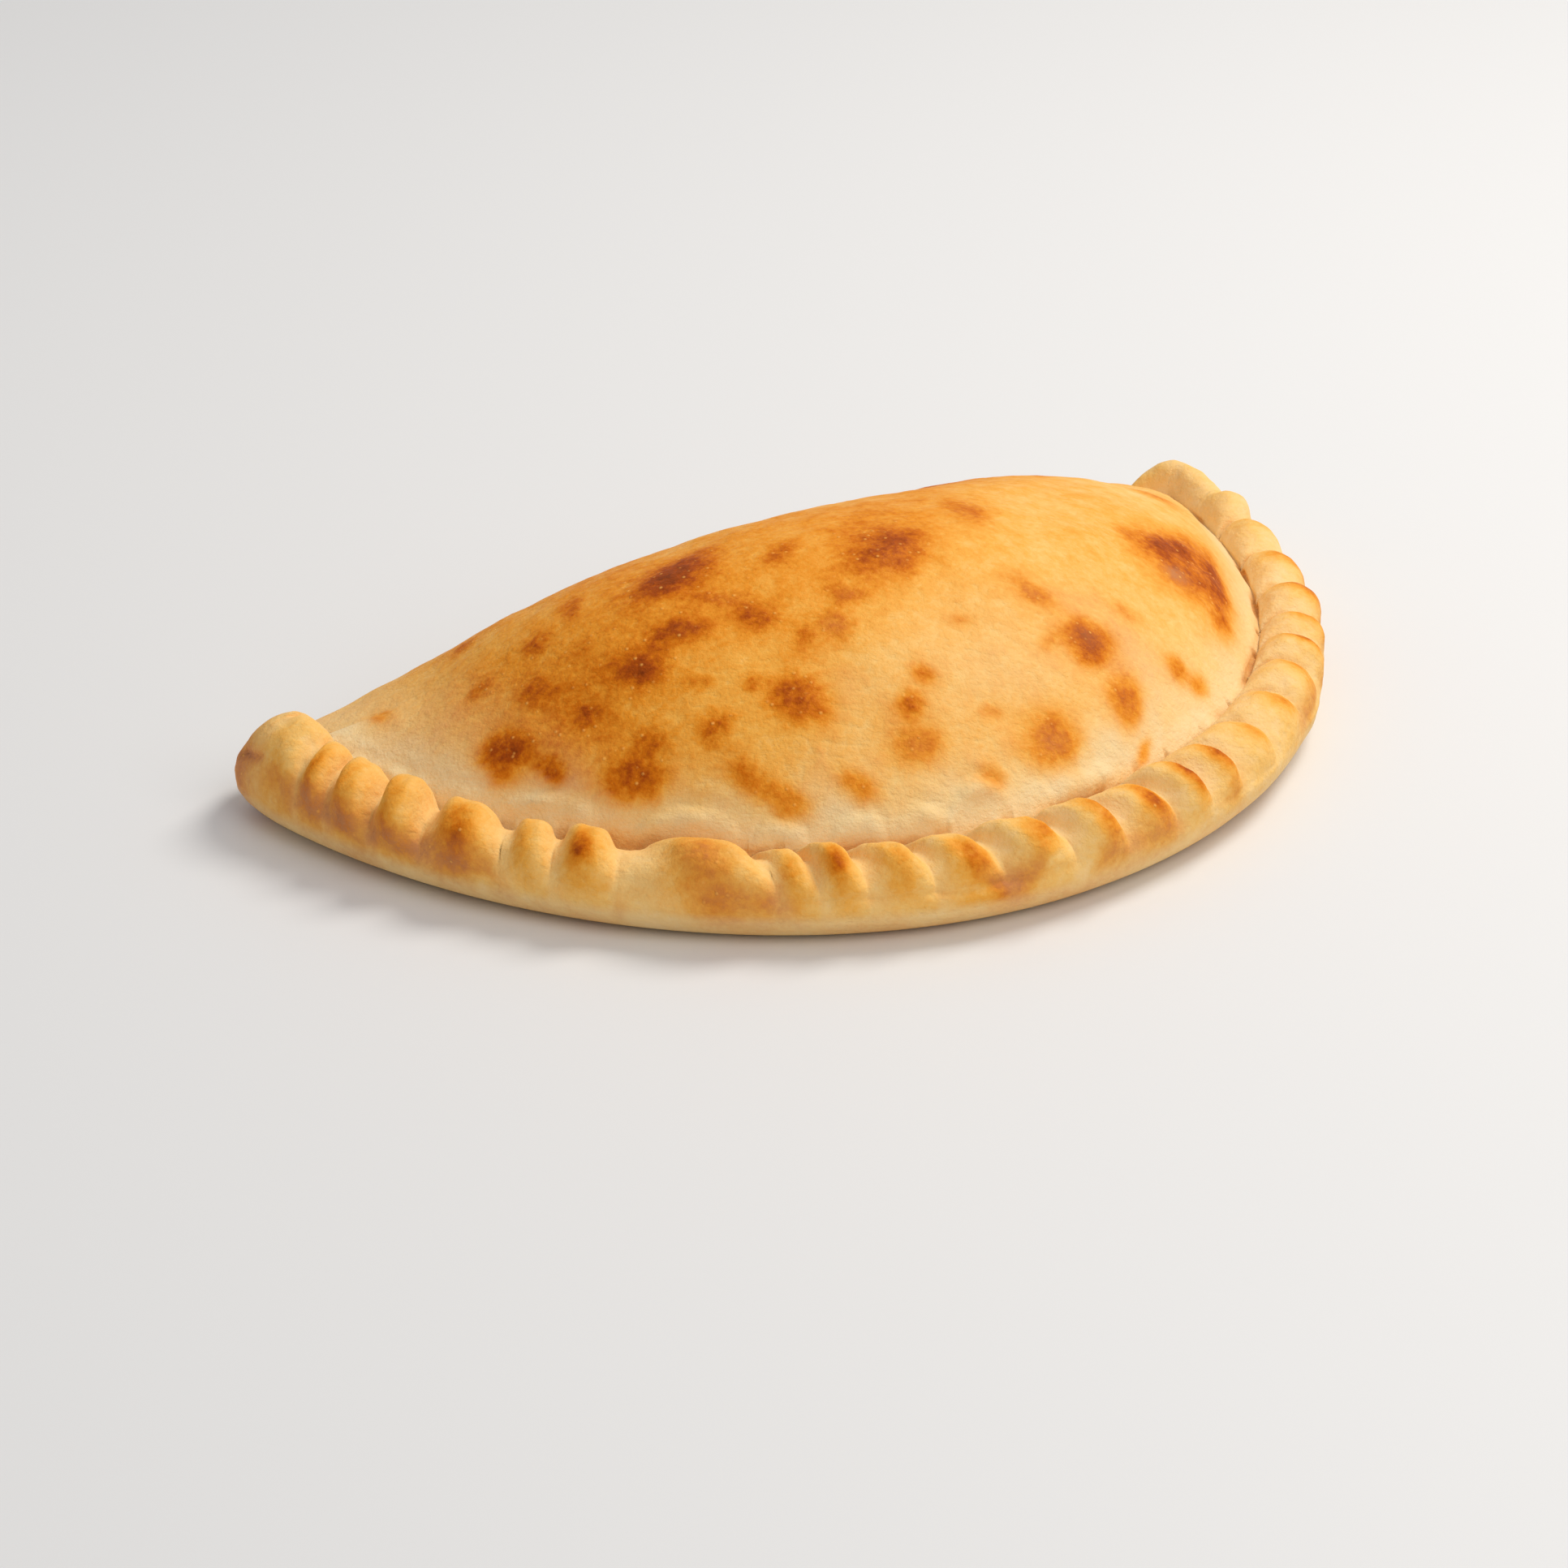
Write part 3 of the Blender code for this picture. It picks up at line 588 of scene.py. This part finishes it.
def workIn(rows, layout, noise):
    # the worked dough and the fields that its material reads
    normals = gridNormals(rows)
    zone = layout["zones"][:, 0][:, None]
    heat, ashAndShade, swell = paintScorches(rows, normals, noise)
    relief, crackAndShade, creaseAndShade = reliefOf(rows, layout, noise, swell)
    shaped = rows + normals * relief[:, :, None]
    shaped[:, :, 2] = np.maximum(shaped[:, :, 2], 0.0)

    tone, soot, patch, broad, toLeft = browning(rows, layout, noise)
    # painted shade: the small crease at the left tip is made browner
    tone = tone + tones["tipCrease"] * creaseAndShade
    tone = np.where(zone < 0.0, tones["underside"] + 0.25 * patch, tone)
    # painted shade, with some browning: the seam cracks are made browner
    tone = tone + tones["crackAndShade"] * crackAndShade
    onDome = (zone == 2.0) * 1.0
    heat = heat * onDome
    toast = tone + (1.0 - tone) * heat * tones["scorch"]
    # besides ash and rim soot, this field takes painted shade from the seam cracks
    ashAndShade = ashAndShade * onDome + soot * layout["crimped"][None, :] + 0.7 * crackAndShade
    flour = dusting(rows, layout, patch, broad, toLeft, crackAndShade) * (1.0 - softStep(heat, 0.02, 0.42))
    return shaped, {"toast": toast, "ashAndShade": ashAndShade, "flour": flour}


def buildCrust():
    rng = np.random.default_rng(crust["seed"])
    noise = Noise(crust["seed"])
    rows, top, layout = loftCrust(rng)
    lower, upper = rows.min(axis=(0, 1)), rows.max(axis=(0, 1))
    rows = rows - [0.5 * (lower[0] + upper[0]), 0.5 * (lower[1] + upper[1]), 0.0]
    top = top - [0.5 * (lower[0] + upper[0]), 0.5 * (lower[1] + upper[1]), 0.0]
    shaped, paint = workIn(rows, layout, noise)
    top = top + np.array([0.0, 0.0, float(shaped[-1, :, 2].mean() - rows[-1, :, 2].mean())])

    # set it into the box of the solid it stands for
    low, high = (np.array(corner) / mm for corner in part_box("calzone"))
    lower, upper = shaped.min(axis=(0, 1)), shaped.max(axis=(0, 1))
    scale = np.append((high - low)[:2] / (upper - lower)[:2], (high - low)[2] / max(upper[2], top[2]))
    shift = np.append(low[:2] - lower[:2] * scale[:2], 0.0)
    print("crust fitted to its solid, scale", [round(float(value), 4) for value in scale])
    rows = shaped * scale + shift
    top = top * scale + shift
    base = np.array([top[0], top[1], 0.0])

    rings, columns = rows.shape[:2]
    points = np.vstack([rows.reshape(-1, 3), top, base]) * mm
    ringStart = np.arange(rings - 1)[:, None] * columns
    here = np.arange(columns)[None, :]
    after = (here + 1) % columns
    quads = np.stack([ringStart + here, ringStart + after, ringStart + columns + after,
                      ringStart + columns + here], axis=-1).reshape(-1, 4)
    lastRing = (rings - 1) * columns
    here, after = here[0], after[0]
    topFan = np.stack([lastRing + here, lastRing + after, np.full(columns, rings * columns)], axis=-1)
    baseFan = np.stack([after, here, np.full(columns, rings * columns + 1)], axis=-1)

    mesh = bpy.data.meshes.new("crust")
    mesh.from_pydata(points.tolist(), [], quads.tolist() + topFan.tolist() + baseFan.tolist())
    mesh.shade_smooth()
    for name, values in paint.items():
        layer = mesh.attributes.new(name, "FLOAT", "POINT")
        ends = [values[-1].mean(), values[0].mean()]
        layer.data.foreach_set("value", np.append(values.reshape(-1), ends).astype(np.float32))
    piece = bpy.data.objects.new("crust", mesh)
    bpy.context.scene.collection.objects.link(piece)
    return piece


# baked dough, from nearly white to scorched, as linear colours
dough = {
    "tones": ((0.00, (0.95, 0.66, 0.32)), (0.16, (0.93, 0.55, 0.160)), (0.30, (0.90, 0.42, 0.065)),
              (0.45, (0.82, 0.290, 0.020)), (0.60, (0.65, 0.165, 0.003)), (0.76, (0.41, 0.072, 0.002)),
              (1.00, (0.17, 0.026, 0.002))),
    # the ash tone also colours the painted shade in the seam cracks
    "ashAndShadeTone": (0.60, 0.26, 0.100), "flourTone": (0.87, 0.70, 0.41), "blisterAndGlintTone": (0.95, 0.44, 0.09),
    "roughness": 0.52, "specular": 0.07, "subsurface": 0.04, "subsurfaceReach": 0.002,
    "subsurfaceTint": (1.0, 0.60, 0.35), "bump": 0.85, "bumpHeight": 0.0006,
    # how fine each pattern is, in repeats a metre
    "mottle": 190.0, "freckles": 640.0, "grain": 1600.0, "wrinkles": 560.0, "blisters": 500.0,
    "wrinkleTurn": -35.0, "blisterAndGlintShow": 0.70,
}


def linkedNodes(tree):
    def add(kind, **settings):
        node = tree.nodes.new(kind)
        for name, value in settings.items():
            setattr(node, name, value)
        return node

    def join(source, target):
        tree.links.new(source, target)

    return add, join


def makeDough():
    material = bpy.data.materials.new("bakedCrust")
    material.use_nodes = True
    tree = material.node_tree
    shader = tree.nodes["Principled BSDF"]
    add, join = linkedNodes(tree)
    place = add("ShaderNodeTexCoord").outputs["Object"]

    def noise(scale, detail, rough=0.55, stretch=None):
        node = add("ShaderNodeTexNoise")
        node.inputs["Scale"].default_value = scale
        node.inputs["Detail"].default_value = detail
        node.inputs["Roughness"].default_value = rough
        if stretch:
            spread = add("ShaderNodeMapping", vector_type="TEXTURE")
            spread.inputs["Rotation"].default_value = (0.0, 0.0, math.radians(dough["wrinkleTurn"]))
            spread.inputs["Scale"].default_value = stretch
            join(place, spread.inputs["Vector"])
            join(spread.outputs["Vector"], node.inputs["Vector"])
        else:
            join(place, node.inputs["Vector"])
        return node.outputs["Fac"]

    def maths(operation, first, second=None, third=None):
        node = add("ShaderNodeMath", operation=operation)
        for slot, value in enumerate((first, second, third)):
            if value is None:
                continue
            if isinstance(value, (int, float)):
                node.inputs[slot].default_value = value
            else:
                join(value, node.inputs[slot])
        return node.outputs["Value"]

    def ranged(value, low, high, toLow=0.0, toHigh=1.0):
        node = add("ShaderNodeMapRange")
        for name, number in (("From Min", low), ("From Max", high), ("To Min", toLow), ("To Max", toHigh)):
            node.inputs[name].default_value = number
        join(value, node.inputs["Value"])
        return node.outputs["Result"]

    def mixed(share, first, second):
        node = add("ShaderNodeMix", data_type="RGBA")
        for name, value in (("Factor", share), ("A", first), ("B", second)):
            socket = next(item for item in node.inputs if item.name == name and item.enabled)
            if isinstance(value, (tuple, float, int)):
                socket.default_value = (*value, 1.0) if isinstance(value, tuple) else value
            else:
                join(value, socket)
        return next(item for item in node.outputs if item.enabled)

    def attribute(name):
        return add("ShaderNodeAttribute", attribute_name=name).outputs["Fac"]

    toast, ashAndShade, flour = attribute("toast"), attribute("ashAndShade"), attribute("flour")
    mottle = noise(dough["mottle"], 4.0)
    freckle = noise(dough["freckles"], 3.0, 0.65)
    grain = noise(dough["grain"], 2.0, 0.6)
    wrinkles = noise(dough["wrinkles"], 3.0, 0.55, (2.2, 1.0, 1.0))

    # browner parts are mottled more strongly
    swing = maths("MULTIPLY", maths("SUBTRACT", mottle, 0.5), ranged(toast, 0.1, 0.8, 0.20, 0.50))
    swing = maths("MULTIPLY_ADD", maths("SUBTRACT", freckle, 0.5), ranged(toast, 0.1, 0.8, 0.14, 0.54), swing)
    swing = maths("MULTIPLY_ADD", maths("SUBTRACT", wrinkles, 0.5), 0.10, swing)
    depth = maths("ADD", toast, swing)
    ramp = add("ShaderNodeValToRGB")
    ramp.color_ramp.elements.remove(ramp.color_ramp.elements[1])
    for number, (position, tone) in enumerate(dough["tones"]):
        stop = ramp.color_ramp.elements[0] if number == 0 else ramp.color_ramp.elements.new(position)
        stop.position = position
        stop.color = (*tone, 1.0)
    join(depth, ramp.inputs["Fac"])
    colour = ramp.outputs["Color"]
    colour = mixed(maths("MULTIPLY", flour, ranged(mottle, 0.3, 0.7, 0.6, 0.95)), colour, dough["flourTone"])
    # ash, rim soot and the seam cracks' painted shade pull the colour towards the ash tone
    colour = mixed(maths("MULTIPLY", ashAndShade, ranged(freckle, 0.35, 0.6, 0.35, 0.75)), colour, dough["ashAndShadeTone"])

    # tiny bright blisters scattered over the browner dough: partly blister colour, partly painted highlight
    # glints
    bubbles = add("ShaderNodeTexVoronoi")
    bubbles.inputs["Scale"].default_value = dough["blisters"]
    join(place, bubbles.inputs["Vector"])
    chance = add("ShaderNodeSeparateColor")
    join(bubbles.outputs["Color"], chance.inputs["Color"])
    dot = ranged(bubbles.outputs["Distance"], 0.08, 0.26, 1.0, 0.0)
    dot = maths("MULTIPLY", dot, ranged(chance.outputs["Red"], 0.56, 0.76))
    dot = maths("MULTIPLY", dot, ranged(toast, 0.36, 0.50))
    colour = mixed(maths("MULTIPLY", dot, dough["blisterAndGlintShow"]), colour, dough["blisterAndGlintTone"])
    join(colour, shader.inputs["Base Color"])

    shader.inputs["Specular IOR Level"].default_value = dough["specular"]
    shader.inputs["Subsurface Weight"].default_value = dough["subsurface"]
    shader.inputs["Subsurface Scale"].default_value = dough["subsurfaceReach"]
    shader.inputs["Subsurface Radius"].default_value = dough["subsurfaceTint"]
    join(ranged(mottle, 0.3, 0.7, dough["roughness"] - 0.08, dough["roughness"] + 0.10),
         shader.inputs["Roughness"])

    skin = maths("MULTIPLY_ADD", freckle, 0.55, maths("MULTIPLY", grain, 0.22))
    skin = maths("MULTIPLY_ADD", mottle, 0.7, skin)
    skin = maths("MULTIPLY_ADD", wrinkles, 0.7, skin)
    skin = maths("MULTIPLY_ADD", dot, 0.3, skin)
    relief = add("ShaderNodeBump")
    relief.inputs["Strength"].default_value = dough["bump"]
    relief.inputs["Distance"].default_value = dough["bumpHeight"]
    join(skin, relief.inputs["Height"])
    join(relief.outputs["Normal"], shader.inputs["Normal"])
    return material


# floor, light and camera
stage = {
    "floorSize": 8.0, "floorColour": (0.80, 0.79, 0.77), "sky": (0.93, 0.95, 1.0), "skyStrength": 0.46,
    # azimuth 0 looks at the crimped front, 90 at the right tip
    "keyLight": {"azimuth": 92.0, "elevation": 54.0, "distance": 1.3, "size": 0.65, "power": 10.6,
                 "colour": (1.0, 0.965, 0.92)},
    "fillLight": {"azimuth": 2.0, "elevation": 42.0, "distance": 1.6, "size": 1.2, "power": 7.2,
                  "colour": (1.0, 0.98, 0.96)},
}
lens = {"azimuth": -35.2, "elevation": 26.3, "distance": 1.172, "focal": 121.1,
        "aim": (-0.0445, -0.0151, 0.0140)}


def standOff(azimuth, elevation, distance):
    around, up = math.radians(azimuth), math.radians(elevation)
    level = math.cos(up)
    return Vector((math.sin(around) * level, -math.cos(around) * level, math.sin(up))) * distance


def turnTo(thing, place, target):
    thing.location = place
    thing.rotation_euler = (target - place).to_track_quat("-Z", "Y").to_euler()


def addLight(name, data):
    lamp = bpy.data.lights.new(name, "AREA")
    lamp.shape = "DISK"
    lamp.size = data["size"]
    lamp.energy = data["power"]
    lamp.color = data["colour"]
    thing = bpy.data.objects.new(name, lamp)
    bpy.context.scene.collection.objects.link(thing)
    target = Vector((0.0, 0.0, 0.02))
    turnTo(thing, target + standOff(data["azimuth"], data["elevation"], data["distance"]), target)


def setStage():
    scene = bpy.context.scene
    scene.view_settings.view_transform = "Standard"
    world = bpy.data.worlds.new("softRoom")
    world.use_nodes = True
    sky = world.node_tree.nodes["Background"]
    sky.inputs["Color"].default_value = (*stage["sky"], 1.0)
    sky.inputs["Strength"].default_value = stage["skyStrength"]
    scene.world = world

    half = 0.5 * stage["floorSize"]
    sheet = bpy.data.meshes.new("floor")
    sheet.from_pydata([(-half, -half, 0.0), (half, -half, 0.0), (half, half, 0.0), (-half, half, 0.0)],
                      [], [(0, 1, 2, 3)])
    floor = bpy.data.objects.new("floor", sheet)
    floor.location.z = -0.0003  # just under the crust, so the two faces don't fight
    scene.collection.objects.link(floor)
    paint = bpy.data.materials.new("paleFloor")
    paint.use_nodes = True
    shader = paint.node_tree.nodes["Principled BSDF"]
    shader.inputs["Base Color"].default_value = (*stage["floorColour"], 1.0)
    shader.inputs["Roughness"].default_value = 0.55
    sheet.materials.append(paint)

    addLight("keyLight", stage["keyLight"])
    addLight("fillLight", stage["fillLight"])

    eye = bpy.data.cameras.new("viewer")
    eye.sensor_width = 36.0
    eye.lens = lens["focal"]
    eye.clip_start = 0.05
    viewer = bpy.data.objects.new("viewer", eye)
    scene.collection.objects.link(viewer)
    aim = Vector(lens["aim"])
    turnTo(viewer, aim + standOff(lens["azimuth"], lens["elevation"], lens["distance"]), aim)
    scene.camera = viewer


setStage()
print("stage, lights and camera are set")
calzone = buildCrust()
calzone.data.materials.append(makeDough())
print("crust built:", len(calzone.data.vertices), "points,", len(calzone.data.polygons), "faces")
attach(calzone, "root")
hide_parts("calzone")
